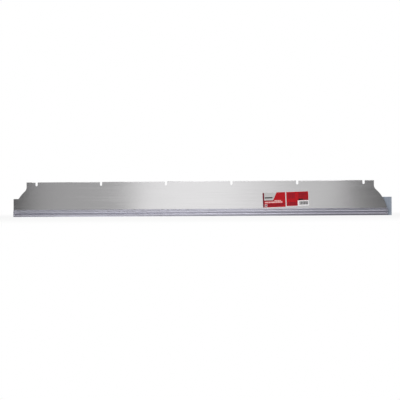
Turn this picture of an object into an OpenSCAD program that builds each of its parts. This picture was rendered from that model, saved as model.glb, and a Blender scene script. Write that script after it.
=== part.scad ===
// Bolt-on straight blade for an ATV plow. A hemmed stainless face sheet hangs on six
// bolts through the open slots in its top edge. Its lower edge sits in a double-bead
// aluminium moulding. A poly wear strip lies behind it and is clamped by a steel angle
// on studs that are welded to the back of the sheet. With the nuts slackened the strip
// slides endwise, so that its end stands proud of the metal as a kerb guard.
//
// +X runs along the blade, -Y is the way the face looks, +Z is up. The origin is on the
// moulding's underside, at mid length, in line with the back of the face sheet.

/* [Face plate] */
// Length of the blade along its bottom edge
blade_len = 1524; // [1220:1:1830]
// Height of the blade
blade_h = 142; // [136:1:160]
// Thickness of the face sheet
sheet_t = 2; // [1.5:0.5:2.5]
// How far the bottom corner stands out beyond the top corner, at each end
end_step = 54.5; // [48:0.5:58]
// Radius of the hollow part of the curved end
hollow_r = 24; // [18:1:26]
// Radius of the full part of the curved end
full_r = 140; // [130:1:150]
// Height of the square foot at the left end, and of the wear strip
foot_h = 74; // [66:1:80]
// Height of the hem folded down behind the top edge
hem_h = 24; // [21:1:28]

/* [Bolt slots] */
// Number of open slots along the top edge
slot_count = 6; // [2:1:8]
// Width of a slot, which clears an 8 mm bolt
slot_w = 9; // [7:0.5:11]
// Depth of a slot from the top edge to its round end
slot_depth = 16; // [12:0.5:18]
// Distance from the top corner to the middle of the outer slot
slot_inset = 41.5; // [30:0.5:60]
// Bevel that opens out the mouth of a slot
slot_mouth = 1.5; // [0.5:0.5:2.5]

/* [Edge moulding] */
// Height of the moulding's front wall
mould_h = 29.5; // [28.5:0.5:31]
// Thickness of the front wall between the beads
wall_t = 2.6; // [2.2:0.2:3]
// Radius of the upper bead
upper_bead_r = 4.4; // [4.2:0.1:4.6]
// Radius of the lower bead
lower_bead_r = 5.2; // [4.8:0.1:5.4]
// Radius of the hollow inside the lower bead
hollow_bead_r = 2.8; // [2:0.2:3]
// Thickness of the floor under the sheet and of the leg behind it
leg_t = 2.5; // [2.2:0.1:3]
// Height of the leg behind the sheet
leg_h = 26; // [24.5:0.5:28]

/* [Wear strip] */
// Thickness of the strip
strip_t = 6; // [5:0.5:8]
// How far the strip stands out at the right-hand end
strip_out = 16; // [5:1:30]
// How far the strip can still be drawn out from there
strip_reserve = 64; // [30:1:80]

/* [Rear clamp] */
// Number of studs along the blade
stud_count = 7; // [4:1:9]
// Height of the studs above the ground
stud_z = 50; // [46:1:54]
// Distance from the blade's end to the outer stud
stud_inset = 102; // [90:1:120]
// Length of the clamp angle
angle_len = 1400; // [1100:1:1400]
// Width of each leg of the clamp angle
angle_w = 25; // [25:1:32]
// Thickness of the clamp angle
angle_t = 3; // [2.5:0.5:4]

/* [Fasteners] */
// Number of countersunk screws that hold the moulding
screw_count = 9; // [4:1:11]
// Distance from the blade's end to the outer screw
screw_inset = 42; // [30:1:60]

/* [Labels] */
// Width of the front label
front_label_w = 94; // [60:1:94]
// Height of the front label
front_label_h = 62; // [40:1:62]
// Width of the information label
info_label_w = 91; // [60:1:94]
// Height of the information label
info_label_h = 59; // [40:1:62]
// Thickness of a label
label_t = 0.2; // [0.1:0.1:0.4]
// How much the labels lean, in degrees
label_lean = 1.8; // [-2:0.1:2]

/* [Hidden] */
$fn = 64;

// Lengthwise layout
half_len = blade_len / 2;
half_top = half_len - end_step;
slot_pitch = (2 * half_top - 2 * slot_inset) / (slot_count - 1);
slot_xs = [for (i = [0:slot_count - 1]) -half_top + slot_inset + i * slot_pitch];
stud_pitch = (blade_len - 2 * stud_inset) / (stud_count - 1);
stud_xs = [for (i = [0:stud_count - 1]) -half_len + stud_inset + i * stud_pitch];
screw_pitch = (blade_len - 2 * screw_inset) / (screw_count - 1);
screw_xs = [for (i = [0:screw_count - 1]) -half_len + screw_inset + i * screw_pitch];

// Curved ends: the full arc is struck from the bottom edge, and the hollow arc is tangent
// to it and to the straight part above
full_x = half_len - full_r;
hollow_x = half_top + hollow_r;
hollow_z = sqrt(pow(hollow_r + full_r, 2) - pow(hollow_x - full_x, 2));
foot_l = 40;
hem_gap = 1.5;

// Moulding, across the blade: heights of the beads' middles, and the lip above them
lower_bead_z = 7.2;
upper_bead_z = 18.3;
bead_y = -sheet_t - 2;
lip_h = 6.3;
lip_t = 3.4;
lip_bevel = 3.2;

// Stack behind the sheet, front to back
slide_gap = 0.3;
strip_y = leg_t + slide_gap;
clamp_y = strip_y + strip_t + slide_gap;
washer_y = clamp_y + angle_t;
nut_y = washer_y + 1.6;

// M6 studs, their bushes, washers and nylon-insert nuts
stud_r = 3;
stud_flange_r = 4;
stud_flange_t = 1;
bush_r = 5;
bush_bore_r = 3.2;
guide_gap = 0.3;
angle_hole_r = 3.3;
washer_r = 8;
washer_bore_r = 3.2;
nut_af = 10;
nut_h = 6;
nut_skirt_h = 4.4;
nut_collar_r = 4.6;
thread_gap = 0.05;
insert_r = 4;
insert_h = 1.4;
stud_end = nut_y + nut_h + 1.5;

// M4 countersunk screws
screw_r = 2;
screw_head_r = 3.9;
screw_head_h = screw_head_r - screw_r;
screw_tip = -sheet_t - 5;
screw_gap = 0.05;
screw_z = upper_bead_z;

// Labels: place of each middle along the blade and in height
front_label_x = 306;
front_label_z = 64.4;
label_gap = 1.6;
info_label_x = front_label_x + (front_label_w + info_label_w) / 2 + label_gap;
info_label_z = front_label_z + 4;

// Runs a profile, drawn as [y, z], along the blade, centred on X
module along_x(length) {
    translate([-length / 2, 0, 0]) rotate([90, 0, 90]) linear_extrude(length) children();
}

// Gives an outline, drawn as [x, z], a thickness from back_y towards the front
module sheet_at(back_y, thickness) {
    translate([0, back_y, 0]) rotate([90, 0, 0]) linear_extrude(thickness) children();
}

// A round bar along Y
module bar_y(r, y0, y1) {
    translate([0, y0, 0]) rotate([-90, 0, 0]) cylinder(r = r, h = y1 - y0);
}

// A ring along Y
module ring_y(r, bore, y0, y1) {
    difference() {
        bar_y(r, y0, y1);
        bar_y(bore, y0 - 1, y1 + 1);
    }
}

// Repeats its child at each place along the blade
module at_each(xs, z) {
    for (x = xs) translate([x, 0, z]) children();
}

// Points along an arc, from one angle to another, leaving out its first point
function arc(centre, r, from, to, steps) = [
    for (i = [1:steps])
        let (a = from + (to - from) * i / steps)
            [centre[0] + r * cos(a), centre[1] + r * sin(a)]
];

// Right-hand half of the face outline: up the full arc, the hollow arc and the straight
module half_outline() {
    turn = asin(hollow_z / (hollow_r + full_r));
    polygon(concat(
        [[-1, leg_t], [half_len, leg_t]],
        arc([full_x, 0], full_r, 0, turn, 24),
        arc([hollow_x, hollow_z], hollow_r, 180 + turn, 180, 12),
        [[half_top, blade_h], [-1, blade_h]]
    ));
}

// One open slot, with its mouth opened out by a small bevel
module slot_outline() {
    bottom_z = blade_h - slot_depth + slot_w / 2;
    mouth_z = blade_h - slot_mouth;
    translate([0, bottom_z]) circle(slot_w / 2);
    translate([-slot_w / 2, bottom_z]) square([slot_w, slot_depth]);
    polygon([[-slot_w / 2, mouth_z], [slot_w / 2, mouth_z],
             [slot_w / 2 + 2 * slot_mouth, blade_h + slot_mouth],
             [-slot_w / 2 - 2 * slot_mouth, blade_h + slot_mouth]]);
}

module face_plate() {
    color("gainsboro") difference() {
        intersection() {
            union() {
                sheet_at(0, sheet_t) {
                    half_outline();
                    mirror([1, 0]) half_outline();
                    translate([-half_len, leg_t]) square([foot_l, foot_h - leg_t]);
                }
                sheet_at(sheet_t, sheet_t)
                    translate([-half_top + hem_gap, blade_h - hem_h])
                        square([2 * (half_top - hem_gap), hem_h]);
            }
            // The fold of the hem rounds the top edge
            along_x(blade_len + 2) {
                translate([-sheet_t, 0]) square([2 * sheet_t, blade_h - sheet_t]);
                translate([0, blade_h - sheet_t]) circle(sheet_t);
            }
        }
        sheet_at(2 * sheet_t, 4 * sheet_t)
            for (x = slot_xs) translate([x, 0]) slot_outline();
        at_each(screw_xs, screw_z) bar_y(screw_r + screw_gap, -sheet_t - 1, 1);
    }
}

// The moulding's section, drawn as [y, z]: a channel that takes the sheet, with a
// bevelled lip at its front, and two beads on its front wall
module moulding_section() {
    wall_front = -sheet_t - wall_t;
    lip_front = -sheet_t - lip_t;
    difference() {
        union() {
            polygon([[wall_front, 0], [leg_t, 0], [leg_t, leg_h], [0, leg_h], [0, leg_t],
                     [-sheet_t, leg_t], [-sheet_t, mould_h], [lip_front + lip_bevel, mould_h],
                     [lip_front, mould_h - lip_bevel], [lip_front, mould_h - lip_h],
                     [wall_front, mould_h - lip_h]]);
            translate([bead_y, upper_bead_z]) circle(upper_bead_r);
            translate([bead_y, lower_bead_z]) circle(lower_bead_r);
        }
        translate([-sheet_t, leg_t]) square([sheet_t, mould_h]);
        translate([bead_y, lower_bead_z]) circle(hollow_bead_r);
    }
}

module edge_moulding() {
    color("lightsteelblue") difference() {
        along_x(blade_len) moulding_section();
        at_each(screw_xs, screw_z) {
            bar_y(screw_r + screw_gap, screw_tip - 0.3, leg_t + 1);
            translate([0, leg_t - screw_head_h - screw_gap, 0]) rotate([-90, 0, 0])
                cylinder(r1 = screw_r + screw_gap, r2 = screw_head_r + 2 * screw_gap,
                         h = screw_head_h + screw_gap);
        }
    }
}

module moulding_screws() {
    color("silver") at_each(screw_xs, screw_z) difference() {
        union() {
            bar_y(screw_r, screw_tip, leg_t - screw_head_h);
            translate([0, leg_t - screw_head_h, 0]) rotate([-90, 0, 0])
                cylinder(r1 = screw_r, r2 = screw_head_r, h = screw_head_h);
        }
        // Hexagon socket
        translate([0, leg_t - 1.4, 0]) rotate([-90, 0, 0]) cylinder(r = 1.45, h = 2, $fn = 6);
    }
}

module weld_studs() {
    color("silver") at_each(stud_xs, stud_z) {
        bar_y(stud_flange_r, 0, stud_flange_t);
        bar_y(stud_r, 0, stud_end);
    }
}

module spacer_bushes() {
    color("silver") at_each(stud_xs, stud_z)
        ring_y(bush_r, bush_bore_r, stud_flange_t, clamp_y);
}

module wear_strip() {
    guide_r = bush_r + guide_gap;
    color("slategray") difference() {
        translate([-half_len + strip_out, strip_y, 0]) cube([blade_len, strip_t, foot_h]);
        at_each(stud_xs, stud_z) {
            translate([-strip_reserve, 0, 0]) bar_y(guide_r, 0, clamp_y);
            translate([strip_out, 0, 0]) bar_y(guide_r, 0, clamp_y);
            translate([-strip_reserve, 0, -guide_r])
                cube([strip_reserve + strip_out, clamp_y, 2 * guide_r]);
        }
    }
}

// Section of the clamp angle, drawn as [y, z], with a round root and eased toes
module angle_section() {
    root_r = angle_t;
    top_z = stud_z + angle_w / 2 + 2;
    difference() {
        translate([clamp_y, top_z - angle_w]) square([angle_w, angle_w]);
        translate([clamp_y + angle_t, top_z - angle_w - 1])
            square([angle_w, angle_w + 1 - angle_t - root_r]);
        translate([clamp_y + angle_t + root_r, top_z - angle_w - 1])
            square([angle_w, angle_w + 1 - angle_t]);
        translate([clamp_y + angle_t + root_r, top_z - angle_t - root_r]) circle(root_r);
    }
}

module clamp_angle() {
    color("darkgray") difference() {
        along_x(angle_len) angle_section();
        at_each(stud_xs, stud_z) bar_y(angle_hole_r, clamp_y - 1, clamp_y + angle_t + 1);
    }
}

module stud_washers() {
    color("silver") at_each(stud_xs, stud_z) ring_y(washer_r, washer_bore_r, washer_y, nut_y);
}

module stud_locknuts() {
    color("silver") at_each(stud_xs, stud_z) difference() {
        union() {
            translate([0, nut_y, 0]) rotate([-90, 0, 0])
                cylinder(d = nut_af / cos(30), h = nut_skirt_h, $fn = 6);
            bar_y(nut_collar_r, nut_y, nut_y + nut_h);
        }
        bar_y(stud_r + thread_gap, nut_y - 1, nut_y + nut_h + 1);
        bar_y(insert_r, nut_y + nut_h - insert_h, nut_y + nut_h + 1);
    }
}

module locknut_inserts() {
    color("royalblue") at_each(stud_xs, stud_z)
        ring_y(insert_r, stud_r + thread_gap, nut_y + nut_h - insert_h, nut_y + nut_h);
}

// A printed label, [width, height], stuck on the front of the face sheet
module label_at(x, z, size) {
    translate([x, -sheet_t, z]) rotate([0, -label_lean, 0])
        translate([-size[0] / 2, -label_t, -size[1] / 2]) cube([size[0], label_t, size[1]]);
}

module front_label() {
    color("firebrick") label_at(front_label_x, front_label_z, [front_label_w, front_label_h]);
}

module info_label() {
    color("firebrick") label_at(info_label_x, info_label_z, [info_label_w, info_label_h]);
}

face_plate();
edge_moulding();
moulding_screws();
weld_studs();
spacer_bushes();
wear_strip();
clamp_angle();
stud_washers();
stud_locknuts();
locknut_inserts();
front_label();
info_label();
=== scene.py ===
import math

import bmesh
import bpy
from mathutils import Matrix, Vector


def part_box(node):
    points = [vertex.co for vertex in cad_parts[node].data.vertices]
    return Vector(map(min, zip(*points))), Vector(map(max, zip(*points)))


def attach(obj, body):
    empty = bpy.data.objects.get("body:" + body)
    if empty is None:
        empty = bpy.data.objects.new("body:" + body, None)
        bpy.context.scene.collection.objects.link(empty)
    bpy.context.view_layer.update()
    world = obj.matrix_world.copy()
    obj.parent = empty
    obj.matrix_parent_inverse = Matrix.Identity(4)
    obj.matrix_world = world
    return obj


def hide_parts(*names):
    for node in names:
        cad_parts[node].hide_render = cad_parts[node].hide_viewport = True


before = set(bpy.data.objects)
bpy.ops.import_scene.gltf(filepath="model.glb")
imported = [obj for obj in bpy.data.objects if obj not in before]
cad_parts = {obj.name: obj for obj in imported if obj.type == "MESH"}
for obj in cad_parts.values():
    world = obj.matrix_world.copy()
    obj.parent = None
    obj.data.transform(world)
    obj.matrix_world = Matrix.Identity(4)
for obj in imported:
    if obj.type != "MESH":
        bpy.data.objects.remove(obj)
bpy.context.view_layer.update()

MM = 0.001


# ---------------------------------------------------------------- face sheet
# A 2 mm sheet of stainless steel with a linear brushed finish, laser cut, with its top
# edge hemmed back on itself. The six open slots hang on the plow's lower bolts. Its cut
# edges are tumbled, so they are slightly round.

def linear(hex_colour):
    """An sRGB hex colour as linear red, green, blue and alpha."""
    parts = [int(hex_colour[i:i + 2], 16) / 255 for i in (1, 3, 5)]
    return [p / 12.92 if p <= 0.04045 else ((p + 0.055) / 1.055) ** 2.4 for p in parts] + [1]


def add(tree, kind, links=None, **settings):
    """Adds a node. A setting is an input's value, or one of the node's own properties."""
    node = tree.nodes.new(kind)
    for name, value in settings.items():
        if hasattr(node, name):
            setattr(node, name, value)
    for name, value in settings.items():
        if not hasattr(node, name):
            node.inputs[name.replace("_", " ")].default_value = value
    for name, source in (links or {}).items():
        tree.links.new(source, node.inputs[name])
    return node


def new_material(name):
    """An empty node material, as (material, tree, Object coordinates)."""
    material = bpy.data.materials.new(name)
    material.use_nodes = True
    tree = material.node_tree
    tree.nodes.clear()
    return material, tree, add(tree, "ShaderNodeTexCoord").outputs["Object"]


def finish_material(tree, shader):
    add(tree, "ShaderNodeOutputMaterial", {"Surface": shader.outputs["BSDF"]})


def ramp(tree, source, stops):
    """A colour ramp over (position, hex colour) stops."""
    node = add(tree, "ShaderNodeValToRGB", {"Fac": source})
    elements = node.color_ramp.elements
    while len(elements) < len(stops):
        elements.new(0.5)
    for element, (position, colour) in zip(elements, stops):
        element.position = position
        element.color = linear(colour)
    return node.outputs["Color"]


def noise(tree, coords, per_metre, detail=2.0, roughness=0.5):
    """Noise with its own frequency along each axis, so that it can be drawn out as grain."""
    mapping = add(tree, "ShaderNodeMapping", {"Vector": coords}, Scale=per_metre)
    return add(tree, "ShaderNodeTexNoise", {"Vector": mapping.outputs["Vector"]},
               Scale=1.0, Detail=detail, Roughness=roughness).outputs["Fac"]


def spread(tree, source, low, high):
    """Brings a 0 to 1 pattern into the range low to high."""
    return add(tree, "ShaderNodeMapRange", {"Value": source}, From_Min=0.25, From_Max=0.75,
               To_Min=low, To_Max=high).outputs["Result"]


widest_curved_face = 0.004  # square metres: the sheet's and strip's flats are wider
corner_turn = 40  # degrees: an edge that turns further is a corner, and is eased


def eased_copy(node_name, ease, body, split=20):
    """A copy of a CAD node with merged faces and slightly rounded edges, which replaces it.
    Its shading breaks at edges that turn by more than split degrees."""
    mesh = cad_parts[node_name].data.copy()
    mesh.name = node_name + "_shape"
    bm = bmesh.new()
    bm.from_mesh(mesh)
    bmesh.ops.remove_doubles(bm, verts=bm.verts, dist=0.002 * MM)
    bmesh.ops.dissolve_limit(bm, angle_limit=math.radians(0.3), verts=bm.verts, edges=bm.edges)
    for face in bm.faces:
        turns = [math.degrees(e.calc_face_angle(0)) for e in face.edges]
        face.smooth = any(0.5 < t < 35 for t in turns) and face.calc_area() < widest_curved_face
    sharp = [e for e in bm.edges if math.degrees(e.calc_face_angle(0)) > corner_turn]
    made = bmesh.ops.bevel(bm, geom=sharp, offset=ease, offset_type="OFFSET", affect="EDGES",
                           segments=2, profile=0.5, material=-1, clamp_overlap=True)
    for face in made["faces"]:
        face.smooth = True
    bm.to_mesh(mesh)
    bm.free()
    mesh.set_sharp_from_angle(angle=math.radians(split))
    piece = bpy.data.objects.new(node_name + "_piece", mesh)
    bpy.context.scene.collection.objects.link(piece)
    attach(piece, body)
    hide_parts(node_name)
    return piece


def give(piece, material):
    """Puts one material on a piece."""
    piece.data.materials.clear()
    piece.data.materials.append(material)


# Brushed 304 stainless: the grain runs lengthwise. Its lines are drawn about 1 mm apart,
# coarser than the real 0.1 mm, so that they still show as a faint streaking.
stainless, tree, coords = new_material("brushed_stainless_304")
grain = noise(tree, coords, (4, 300, 900), detail=4)
clouds = noise(tree, coords, (3, 3, 14), detail=3)
sheet_colour = add(tree, "ShaderNodeMix", {"Factor": spread(tree, grain, 0.0, 1.0)}, data_type="RGBA")
sheet_colour.inputs["A"].default_value = linear("#e4e3e4")
sheet_colour.inputs["B"].default_value = linear("#f0eff0")
sheet_rough = add(tree, "ShaderNodeMath", {
    0: spread(tree, grain, 0.10, 0.14), 1: spread(tree, clouds, -0.015, 0.015)}, operation="ADD")
sheet_bump = add(tree, "ShaderNodeBump", {"Height": grain}, Strength=0.08, Distance=0.0002)
finish_material(tree, add(tree, "ShaderNodeBsdfPrincipled", {
    "Base Color": sheet_colour.outputs["Result"], "Roughness": sheet_rough.outputs["Value"],
    "Normal": sheet_bump.outputs["Normal"]}, Metallic=1.0))

give(eased_copy("face_plate", 0.9 * MM, "blade"), stainless)


# ------------------------------------------------------------- edge moulding
# An extruded aluminium moulding with a lip and two beads, satin anodised. It is pressed
# over the sheet's lower edge and held by screws from behind.

# Anodised 6063 aluminium: fine die lines run along the extrusion. It is set rather rough,
# because the beads' thin highlights turn blotchy from a distance on a smoother finish.
anodised, tree, coords = new_material("anodised_aluminium_6063")
die_lines = noise(tree, coords, (0.5, 900, 900), detail=2)
anodised_rough = spread(tree, die_lines, 0.36, 0.39)
finish_material(tree, add(tree, "ShaderNodeBsdfPrincipled", {
    "Base Color": ramp(tree, die_lines, [(0.3, "#d0cfdb"), (0.7, "#d5d4e0")]),
    "Roughness": anodised_rough}, Metallic=1.0))

give(eased_copy("edge_moulding", 0.3 * MM, "blade", split=60), anodised)


# ----------------------------------------------------------- moulding screws
# M4 countersunk socket screws in stainless steel, driven from behind through the
# moulding's leg and the sheet into its upper bead, flush with the leg.

# Machined stainless: turning leaves it a little brighter than the brushed sheet.
machined, tree, coords = new_material("machined_stainless_304")
turning = noise(tree, coords, (900, 2500, 900), detail=2)
finish_material(tree, add(tree, "ShaderNodeBsdfPrincipled", {
    "Base Color": ramp(tree, turning, [(0.3, "#c9c8c7"), (0.7, "#d9d8d8")]),
    "Roughness": spread(tree, turning, 0.22, 0.34)}, Metallic=1.0))

give(eased_copy("moulding_screws", 0.08 * MM, "blade"), machined)


# ---------------------------------------------------------------- weld studs
# M6 threaded studs, capacitor-discharge welded to the back of the sheet, seven along the
# blade. The weld leaves a small flange, so nothing shows on the front.

def turned(profile, ease, steps=40, closed=True):
    """Spins an outline of (radius, y) points about the Y axis and rounds its sharp edges."""
    bm = bmesh.new()
    points = [bm.verts.new((radius, y, 0)) for radius, y in profile]
    pairs = list(zip(points, points[1:])) + ([(points[-1], points[0])] if closed else [])
    edges = [bm.edges.new(pair) for pair in pairs]
    bmesh.ops.spin(bm, geom=points + edges, cent=(0, 0, 0), axis=(0, 1, 0), dvec=(0, 0, 0),
                   angle=math.tau, steps=steps, use_merge=True, use_duplicate=False)
    bmesh.ops.remove_doubles(bm, verts=bm.verts, dist=0.001 * MM)
    bmesh.ops.recalc_face_normals(bm, faces=bm.faces)
    if ease:
        sharp = [e for e in bm.edges if math.degrees(e.calc_face_angle(0)) > corner_turn]
        bmesh.ops.bevel(bm, geom=sharp, offset=ease, offset_type="OFFSET", affect="EDGES",
                        segments=2, profile=0.5, material=-1, clamp_overlap=True)
    return bm


def row_of(bm, name, places):
    """Repeats a bmesh built on the Y axis at each (x, z) place, as one object."""
    first = list(bm.verts) + list(bm.edges) + list(bm.faces)
    for x, z in places[1:]:
        made = bmesh.ops.duplicate(bm, geom=first)["geom"]
        bmesh.ops.translate(bm, verts=[v for v in made if isinstance(v, bmesh.types.BMVert)],
                            vec=(x - places[0][0], 0, z - places[0][1]))
    bmesh.ops.translate(bm, verts=bm.verts, vec=(places[0][0], 0, places[0][1]))
    mesh = bpy.data.meshes.new(name)
    bm.to_mesh(mesh)
    bm.free()
    mesh.shade_smooth()
    mesh.set_sharp_from_angle(angle=math.radians(35))
    piece = bpy.data.objects.new(name, mesh)
    bpy.context.scene.collection.objects.link(piece)
    return piece


stud_low, stud_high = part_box("weld_studs")
stud_radius = 3 * MM
flange_radius = (stud_high.z - stud_low.z) / 2
stud_count = 7
stud_span = stud_high.x - stud_low.x - 2 * flange_radius
stud_step = stud_span / (stud_count - 1)
stud_line = (stud_low.z + stud_high.z) / 2
stud_places = [(stud_low.x + flange_radius + i * stud_step, stud_line) for i in range(stud_count)]

thread_pitch = 1 * MM
thread_depth = 0.55 * MM
flange_top = 0.7 * MM
shank_start = 1.3 * MM
first_crest = 2.5 * MM
stud_outline = [(0, stud_low.y), (flange_radius, stud_low.y),
                (flange_radius, flange_top), (stud_radius, shank_start)]
crest = first_crest
while crest < stud_high.y - thread_pitch:
    stud_outline += [(stud_radius - thread_depth, crest - 0.5 * thread_pitch), (stud_radius, crest)]
    crest += thread_pitch
stud_outline += [(stud_radius - thread_depth, stud_high.y), (0, stud_high.y)]
studs = row_of(turned(stud_outline, 0, steps=28, closed=False), "threaded_studs", stud_places)
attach(studs, "blade")
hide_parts("weld_studs")
give(studs, machined)


# ------------------------------------------------------------- spacer bushes
# Steel bushes that slip over the studs and hold the angle off the sheet. The strip's
# slots slide along them.

# Bright zinc plate on steel, with a faint blue passivate.
zinc, tree, coords = new_material("bright_zinc_plate")
plating = noise(tree, coords, (260, 260, 260), detail=3)
finish_material(tree, add(tree, "ShaderNodeBsdfPrincipled", {
    "Base Color": ramp(tree, plating, [(0.3, "#c6ccd1"), (0.7, "#d8dadb")]),
    "Roughness": spread(tree, plating, 0.2, 0.34)}, Metallic=1.0))

bush_low, bush_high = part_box("spacer_bushes")
bush_radius = (bush_high.z - bush_low.z) / 2
bush_bore = 3.2 * MM
bushes = row_of(turned([(bush_bore, bush_low.y), (bush_radius, bush_low.y),
                        (bush_radius, bush_high.y), (bush_bore, bush_high.y)], 0.2 * MM),
                "steel_bushes", stud_places)
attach(bushes, "blade")
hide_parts("spacer_bushes")
give(bushes, zinc)


# ---------------------------------------------------------------- wear strip
# A planed strip of ultra-high-molecular-weight polyethylene, 6 mm thick, with long slots
# for the studs. It slides endwise to stand out past the metal as a kerb guard.

# Blue-grey polyethylene: cross-planing leaves faint upright ripples about 6 mm apart.
poly, tree, coords = new_material("planed_uhmw_polyethylene")
ripples = noise(tree, coords, (160, 4, 5), detail=2)
cloudy = noise(tree, coords, (9, 9, 14), detail=3)
poly_tone = add(tree, "ShaderNodeMath", {
    0: spread(tree, ripples, 0.2, 0.8), 1: spread(tree, cloudy, -0.2, 0.2)}, operation="ADD")
poly_bump = add(tree, "ShaderNodeBump", {"Height": ripples}, Strength=0.15, Distance=0.0005)
finish_material(tree, add(tree, "ShaderNodeBsdfPrincipled", {
    "Base Color": ramp(tree, poly_tone.outputs["Value"], [(0.0, "#86909f"), (1.0, "#a5adb9")]),
    "Normal": poly_bump.outputs["Normal"]}, Roughness=0.5, IOR=1.54))

give(eased_copy("wear_strip", 0.4 * MM, "strip"), poly)


# --------------------------------------------------------------- clamp angle
# A 25 mm rolled steel angle, hot-dip galvanised, bolted over the strip on the studs. It
# spreads the nuts' pull along the strip, with its free leg turned to the rear.

# Galvanising freezes in a spangle of flat crystals, each 8 to 20 mm across.
galvanised, tree, coords = new_material("hot_dip_galvanised_steel")
spangle_map = add(tree, "ShaderNodeMapping", {"Vector": coords}, Scale=(80, 80, 80))
spangle = add(tree, "ShaderNodeTexVoronoi", {"Vector": spangle_map.outputs["Vector"]}, Scale=1.0)
spangle_tone = add(tree, "ShaderNodeSeparateColor", {"Color": spangle.outputs["Color"]})
finish_material(tree, add(tree, "ShaderNodeBsdfPrincipled", {
    "Base Color": ramp(tree, spangle_tone.outputs["Red"], [(0.0, "#a3a8ad"), (1.0, "#c3c8cc")]),
    "Roughness": spread(tree, spangle_tone.outputs["Green"], 0.34, 0.5)}, Metallic=1.0))

give(eased_copy("clamp_angle", 0.4 * MM, "blade"), galvanised)


# ------------------------------------------------------------------- washers
# Stamped M6 washers, zinc plated, one under each lock nut. Their edges are lightly
# tumbled before plating, so both faces have the same small round.
washer_low, washer_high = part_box("stud_washers")
washer_radius = (washer_high.z - washer_low.z) / 2
washer_bore = 3.2 * MM
washers = row_of(turned([(washer_bore, washer_low.y), (washer_radius, washer_low.y),
                         (washer_radius, washer_high.y), (washer_bore, washer_high.y)], 0.25 * MM),
                 "flat_washers", stud_places)
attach(washers, "blade")
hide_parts("stud_washers")
give(washers, zinc)


# ----------------------------------------------------------------- lock nuts
# M6 nylon-insert lock nuts: a hexagon with chamfered corners below a round collar that
# is rolled in over the nylon ring.
nut_low, nut_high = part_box("stud_locknuts")
nut_flats = nut_high.z - nut_low.z
nut_bore = 3.05 * MM
skirt_top = nut_low.y + 4.4 * MM
chamfer_radius = 0.47 * nut_flats
cuts_per_flat = 7
collar_radius = 4.6 * MM
collar_mouth = 4.0 * MM
insert_depth = 1.4 * MM
collar_edge = 0.35 * MM
collar_ease = 0.07 * MM  # under half of the bore wall's 0.2 mm, which would collapse otherwise
corner_drop = math.tan(math.radians(30))
hexagon_radius = nut_flats / 2 / math.cos(math.radians(30))


def hexagon_skirt():
    """The hexagon with its bore, chamfered at both ends where the corners pass its flats."""
    bm = bmesh.new()
    ring = bmesh.ops.create_circle(bm, segments=6, radius=hexagon_radius)["verts"]
    bmesh.ops.rotate(bm, verts=ring, cent=(0, 0, 0), matrix=Matrix.Rotation(math.radians(-90), 3, "X"))
    bmesh.ops.translate(bm, verts=ring, vec=(0, nut_low.y, 0))
    bmesh.ops.subdivide_edges(bm, edges=bm.edges, cuts=cuts_per_flat)
    rim = list(bm.edges)
    side = bmesh.ops.extrude_edge_only(bm, edges=rim)["geom"]
    far = [g for g in side if isinstance(g, bmesh.types.BMVert)]
    bmesh.ops.translate(bm, verts=far, vec=(0, skirt_top - nut_low.y, 0))
    for end, inward in ((nut_low.y, 1), (skirt_top, -1)):
        loop = [v for v in bm.verts if abs(v.co.y - end) < 1e-7]
        edges = [e for e in bm.edges if all(v in loop for v in e.verts)]
        for radius in (chamfer_radius, nut_bore):
            grown = bmesh.ops.extrude_edge_only(bm, edges=edges)["geom"]
            inner = [g for g in grown if isinstance(g, bmesh.types.BMVert)]
            made = [g for g in grown if isinstance(g, bmesh.types.BMEdge)]
            edges = [e for e in made if all(v in inner for v in e.verts)]
            for v in inner:
                reach = math.hypot(v.co.x, v.co.z)
                v.co.x *= radius / reach
                v.co.z *= radius / reach
        for v in loop:
            v.co.y += inward * corner_drop * max(0, math.hypot(v.co.x, v.co.z) - chamfer_radius)
    mouths = [e for e in bm.edges if e.is_boundary]
    bmesh.ops.bridge_loops(bm, edges=mouths)
    bmesh.ops.recalc_face_normals(bm, faces=bm.faces)
    return bm


collar_shoulder = nut_high.y - 0.5 * MM
insert_seat = nut_high.y - insert_depth
collar = turned([(nut_bore, skirt_top), (collar_radius, skirt_top), (collar_radius, collar_shoulder),
                 (collar_radius - collar_edge, nut_high.y), (collar_mouth, nut_high.y),
                 (collar_mouth, insert_seat), (nut_bore, insert_seat)], collar_ease)
collar_mesh = bpy.data.meshes.new("collar")
collar.to_mesh(collar_mesh)
collar.free()
nut = hexagon_skirt()
nut.from_mesh(collar_mesh)
bpy.data.meshes.remove(collar_mesh)
nuts = row_of(nut, "lock_nuts", stud_places)
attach(nuts, "blade")
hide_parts("stud_locknuts")
give(nuts, zinc)


# ------------------------------------------------------------- nylon inserts
# The nylon rings that grip the thread. Each is pressed into its nut's collar before the
# collar is rolled in, and its outer edge is chamfered at the collar's mouth.

# Dyed nylon: slightly translucent, with a soft sheen.
nylon, tree, coords = new_material("dyed_nylon_66")
mottle = noise(tree, coords, (400, 400, 400), detail=2)
finish_material(tree, add(tree, "ShaderNodeBsdfPrincipled", {
    "Base Color": ramp(tree, mottle, [(0.3, "#2a4a9c"), (0.7, "#3357ad")]),
    "Roughness": spread(tree, mottle, 0.35, 0.5)}, IOR=1.53, Subsurface_Weight=0.1,
    Subsurface_Scale=0.001))

insert_low, insert_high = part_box("locknut_inserts")
insert_radius = (insert_high.z - insert_low.z) / 2
insert_chamfer = 0.3 * MM
inserts = row_of(turned([(nut_bore, insert_low.y), (insert_radius, insert_low.y),
                         (insert_radius, insert_high.y - insert_chamfer),
                         (insert_radius - insert_chamfer, insert_high.y),
                         (nut_bore, insert_high.y)], 0.12 * MM),
                 "nylon_rings", stud_places)
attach(inserts, "blade")
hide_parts("locknut_inserts")
give(inserts, nylon)


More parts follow.
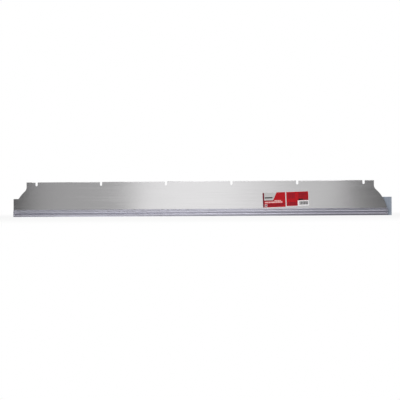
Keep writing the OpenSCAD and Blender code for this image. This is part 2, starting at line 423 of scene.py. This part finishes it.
# --------------------------------------------------------------- front label
# A printed vinyl label under a low-gloss film, stuck on the sheet by hand, so it leans a
# little. It carries a plain red field, one plain black bar and lines of greeked print.
label_lean = math.radians(1.8)
front_size = (94, 62)
info_size = (91, 59)
corner_radius = 2.5
shortest_bar = 1
word_gap = 1.3
vinyl_depth = 0.16 * MM
ink_depth = 0.012 * MM


def ink(name, colour, second):
    """Printing ink under low-gloss film: its tone wanders a little, as offset print does."""
    material, tree, coords = new_material(name)
    tone = noise(tree, coords, (220, 220, 220), detail=3)
    ripple = noise(tree, coords, (60, 60, 90), detail=1)
    film = add(tree, "ShaderNodeBump", {"Height": ripple}, Strength=0.05, Distance=0.0003)
    finish_material(tree, add(tree, "ShaderNodeBsdfPrincipled", {
        "Base Color": ramp(tree, tone, [(0.3, colour), (0.7, second)]), "Normal": film.outputs["Normal"]},
        Roughness=0.34, Specular_IOR_Level=0.2))
    return material


inks = [ink("white_vinyl", "#efedee", "#f7f5f6"), ink("red_ink", "#b8101b", "#c21822"),
        ink("deep_red_ink", "#a50f1b", "#ae1520"), ink("wine_ink", "#711426", "#7c182b"),
        ink("black_ink", "#100e11", "#19161a"), ink("pale_pink_ink", "#edb4b4", "#f3c4c0"),
        ink("grey_ink", "#5c5a66", "#686672"), ink("pale_grey_ink", "#d6b9bb", "#dec3c4"),
        ink("silver_ink", "#c6c5c5", "#cfcecd")]
VINYL, RED, DEEP_RED, WINE, BLACK, PINK, GREY, PALE, SILVER = range(9)


class Label:
    """A leaning sheet of vinyl with prints on it. Places are in mm from its top left."""

    def __init__(self, node, size):
        self.node, self.size = node, size
        self.bm = bmesh.new()
        low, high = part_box(node)
        self.middle = Vector(((low.x + high.x) / 2, high.y, (low.z + high.z) / 2))
        self.shape([(0, 0), (size[0], 0), size, (0, size[1])], VINYL, 0, vinyl_depth, corner_radius)

    def shape(self, outline, colour, level, depth=ink_depth, corner=0):
        """A flat print with an outline of (across, down) points, level inks above the vinyl."""
        back = 0 if colour == VINYL and level == 0 else vinyl_depth + level * ink_depth
        points = [self.bm.verts.new(((u - self.size[0] / 2) * MM, -back, (self.size[1] / 2 - v) * MM))
                  for u, v in outline]
        face = self.bm.faces.new(points)
        if corner:
            bmesh.ops.bevel(self.bm, geom=points, offset=corner * MM, offset_type="OFFSET", affect="VERTICES",
                            segments=4, profile=0.5, material=-1)
            face = self.bm.faces[:][0]
        grown = bmesh.ops.extrude_face_region(self.bm, geom=[face], use_keep_orig=True)["geom"]
        front = [g for g in grown if isinstance(g, bmesh.types.BMVert)]
        bmesh.ops.translate(self.bm, verts=front, vec=(0, -depth, 0))
        body = {f for v in front for f in v.link_faces} | {face}
        for f in body:
            f.material_index = colour

    def block(self, left, top, right, bottom, colour, level=1):
        self.shape([(left, top), (right, top), (right, bottom), (left, bottom)], colour, level)

    def words(self, left, top, right, height, colour, level=2, widths=(7, 4, 9, 5, 3, 8)):
        """One line of greeked print: a run of plain bars with gaps."""
        start, turn = left, 0
        while start < right:
            end = min(start + widths[turn % len(widths)], right)
            if end - start > shortest_bar:
                self.block(start, top, end, top + height, colour, level)
            start, turn = end + word_gap, turn + 1

    def stick(self):
        """Leans the label, puts it on the sheet and lets it stand for its CAD node."""
        bmesh.ops.recalc_face_normals(self.bm, faces=self.bm.faces)
        bmesh.ops.rotate(self.bm, verts=self.bm.verts, cent=(0, 0, 0),
                         matrix=Matrix.Rotation(-label_lean, 3, "Y"))
        bmesh.ops.translate(self.bm, verts=self.bm.verts, vec=self.middle)
        mesh = bpy.data.meshes.new(self.node + "_print")
        self.bm.to_mesh(mesh)
        self.bm.free()
        for material in inks:
            mesh.materials.append(material)
        piece = bpy.data.objects.new(self.node + "_print", mesh)
        bpy.context.scene.collection.objects.link(piece)
        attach(piece, "blade")
        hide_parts(self.node)


front = Label("front_label", front_size)
# A hairline is left between neighbouring inks, so that their edges don't coincide.
hairline = 0.05
front.block(1, 1, 7 - hairline, 61, WINE)
front.shape([(7, 1), (58 - hairline, 1), (43 - hairline, 32.5 - hairline), (7, 32.5 - hairline)], SILVER, 1)
front.shape([(58, 1), (93, 1), (93, 61), (7, 61), (7, 32.5), (43, 32.5)], RED, 1)
front.block(9.5, 20, 41, 24.5, BLACK, 2)
front.words(8, 33, 46, 2.4, WINE)
front.words(48, 33, 74, 4, PINK, widths=(11, 8, 6))
front.words(9.5, 38, 80, 5.5, PINK, widths=(13, 9, 16, 7, 12))
for line in range(3):
    front.words(20, 47 + 4 * line, 90 - 6 * line, 2.4, WINE)
front.block(8.5, 48, 18.5, 59, PALE, 2)
front.block(11, 50.5, 16, 56.5, GREY, 3)
front.stick()


# ---------------------------------------------------------------- info label
# The second label carries the same red, rows of greeked print and a pale code panel,
# whose bars stand for nothing.
info = Label("info_label", info_size)
info.shape([(1, 1), (90, 1), (90, 36.5), (46, 36.5), (46, 58), (1, 58)], RED, 1)
info.block(48.5, 3, 88.5, 28.5, DEEP_RED, 2)
for line in range(5):
    info.words(8, 7 + 4.4 * line, 38 - 3 * (line % 2), 2.2, WINE)
for line in range(3):
    info.words(52, 7 + 6 * line, 84 - 5 * line, 2.2, WINE, level=3)
for line in range(3):
    info.words(6, 43 + 4.6 * line, 43, 2.6, WINE)
info.block(49.5, 29.5, 69, 35.5, BLACK, 2)
info.words(71, 30, 88.5, 5, WINE, level=3)
bar_widths = (1.1, 2.0, 0.9, 2.6, 1.3)
bar_gaps = (0.9, 0.7, 1.1)
bar_edge, bar_turn = 53.0, 0
while bar_edge < 87:
    bar_width = bar_widths[bar_turn % len(bar_widths)]
    info.block(bar_edge, 40.5, bar_edge + bar_width, 54, BLACK, 1)
    bar_edge += bar_width + bar_gaps[bar_turn % len(bar_gaps)]
    bar_turn += 1
info.stick()


# ------------------------------------------------------------------ lighting
# A dim studio. Five upright strips on a far wall are what the sheet mirrors, so they set
# the way its grey changes along it. Panels below and above light the moulding's beads,
# and wide dim ones at the sides and back keep the other faces from reflecting darkness.
scene = bpy.context.scene
scene.view_settings.view_transform = "Standard"


def soft_box(name, place, target, width, height, radiance):
    """A rectangular lamp that faces its target and that the camera doesn't see."""
    light = bpy.data.lights.new(name, "AREA")
    light.shape = "RECTANGLE"
    light.size = width
    light.size_y = height
    light.energy = radiance * math.pi * width * height
    lamp = bpy.data.objects.new(name, light)
    lamp.location = place
    lamp.rotation_euler = (Vector(target) - Vector(place)).to_track_quat("-Z", "Y").to_euler()
    lamp.visible_camera = False
    scene.collection.objects.link(lamp)


wall_y = -6.2
wall_middle = 1.0
wall_height = 4.0
blade_middle = 0.07


def wall_strip(name, left, right, radiance):
    """An upright strip of the far wall, between two places along it."""
    middle = (left + right) / 2
    soft_box(name, (middle, wall_y, wall_middle), (middle, 0, wall_middle),
             right - left, wall_height, radiance)


wall_strip("far_left_strip", -1.95, -1.05, 0.36)
wall_strip("left_strip", -1.05, -0.15, 0.89)
wall_strip("middle_strip", -0.15, 0.15, 0.75)
wall_strip("right_strip", 0.15, 0.75, 0.58)
wall_strip("far_right_strip", 0.75, 1.05, 0.16)

panel_reach = 3.6
panel_height = 2.2
panel_turn = 0.4


def panel(name, across, lift, width, radiance):
    """A panel on an arc in front of the blade, lifted by so many degrees, aimed near its middle."""
    rise = math.radians(lift)
    soft_box(name, (across, -panel_reach * math.cos(rise), panel_reach * math.sin(rise)),
             (panel_turn * across, 0, blade_middle), width, panel_height, radiance)


panel("low_left_panel", -1.9, -24, 1.9, 1.15)
panel("low_panel", 0, -24, 1.9, 0.75)
panel("floor_panel", -0.7, -60, 3.3, 0.9)
panel("right_panel", 1.9, 50, 1.9, 1.5)
panel("top_panel", 0, 62, 1.9, 2.4)
panel("top_left_panel", -1.9, 62, 1.9, 0.9)

soft_box("back_panel", (0, 4.0, 0.6), (0, 0, 0.05), 12, 5, 0.7)
soft_box("low_left_wing", (-2.9, -2.9, -1.8), (0, 0, blade_middle), 3.6, 2.6, 0.5)
soft_box("low_right_wing", (2.9, -2.9, -1.8), (0, 0, blade_middle), 3.6, 2.6, 0.5)
soft_box("top_back_panel", (0, 2.8, 2.8), (0, 0, 0), 6, 2.2, 0.8)
soft_box("right_end_panel", (4.5, 0, 0.4), (0, 0, blade_middle), 2.4, 2.4, 0.4)
soft_box("left_end_panel", (-4.5, 0, 0.4), (0, 0, blade_middle), 2.4, 2.4, 0.4)
wall_strip("right_wall_panel", 1.25, 2.95, 0.2)

world = bpy.data.worlds.new("room")
world.use_nodes = True
scene.world = world
world.node_tree.nodes.clear()
room = add(world.node_tree, "ShaderNodeBackground", Color=linear("#ffffff"), Strength=0.035)
backdrop = add(world.node_tree, "ShaderNodeBackground", Color=linear("#ffffff"), Strength=1.0)
seen = add(world.node_tree, "ShaderNodeLightPath")
both = add(world.node_tree, "ShaderNodeMixShader", {
    "Fac": seen.outputs["Is Camera Ray"], 1: room.outputs["Background"], 2: backdrop.outputs["Background"]})
add(world.node_tree, "ShaderNodeOutputWorld", {"Surface": both.outputs["Shader"]})


# --------------------------------------------------------------------- floor
# A plain pale disc that fades into the white background towards its rim. It is left out
# of reflections, which keeps a bright floor off the moulding's lower bead.
floor_radius = 2.2
fade_start = 0.9
fade_end = 1.8
own_light = 0.86  # how much of the floor's white is its own near the blade
bm = bmesh.new()
bmesh.ops.create_circle(bm, cap_ends=True, segments=96, radius=floor_radius)
floor_mesh = bpy.data.meshes.new("floor")
bm.to_mesh(floor_mesh)
bm.free()
floor = bpy.data.objects.new("floor", floor_mesh)
floor.location.z = -0.0005
floor.visible_glossy = False
floor.visible_shadow = False
scene.collection.objects.link(floor)
floor_paint, tree, coords = new_material("pale_floor")
reach = add(tree, "ShaderNodeVectorMath", {0: coords}, operation="LENGTH")
fade = add(tree, "ShaderNodeMapRange", {"Value": reach.outputs["Value"]},
           From_Min=fade_start, From_Max=fade_end, To_Min=own_light)
matt = add(tree, "ShaderNodeBsdfDiffuse", Color=linear("#f7f7f6"))
glow = add(tree, "ShaderNodeEmission", Strength=1.0)
floor_mix = add(tree, "ShaderNodeMixShader", {
    "Fac": fade.outputs["Result"], 1: matt.outputs["BSDF"], 2: glow.outputs["Emission"]})
add(tree, "ShaderNodeOutputMaterial", {"Surface": floor_mix.outputs["Shader"]})
floor_mesh.materials.append(floor_paint)


# -------------------------------------------------------------------- camera
# A long lens, level with the blade and slightly to the right of its middle, so the blade
# is seen almost straight on and its ends hardly taper.
camera_turn = math.radians(4.489)
camera_pitch = math.radians(-0.002)
camera_roll = math.radians(-0.358)
camera_reach = 5.884
shift_right = 0.00513
shift_down = 0.00448
focal_length = 130.36
sensor_width = 36
aim = Vector((0, 0, blade_middle))

ahead = Vector((-math.sin(camera_turn) * math.cos(camera_pitch),
                math.cos(camera_turn) * math.cos(camera_pitch), -math.sin(camera_pitch)))
level = Vector((math.cos(camera_turn), math.sin(camera_turn), 0))
upward = level.cross(ahead)
place = aim - camera_reach * ahead + shift_right * level - shift_down * upward
right = math.cos(camera_roll) * level + math.sin(camera_roll) * upward
top = -math.sin(camera_roll) * level + math.cos(camera_roll) * upward

lens = bpy.data.cameras.new("camera")
lens.sensor_width = sensor_width
lens.lens = focal_length
lens.clip_end = 100
camera = bpy.data.objects.new("camera", lens)
camera.matrix_world = Matrix((
    (right.x, top.x, -ahead.x, place.x),
    (right.y, top.y, -ahead.y, place.y),
    (right.z, top.z, -ahead.z, place.z),
    (0, 0, 0, 1)))
scene.collection.objects.link(camera)
scene.camera = camera
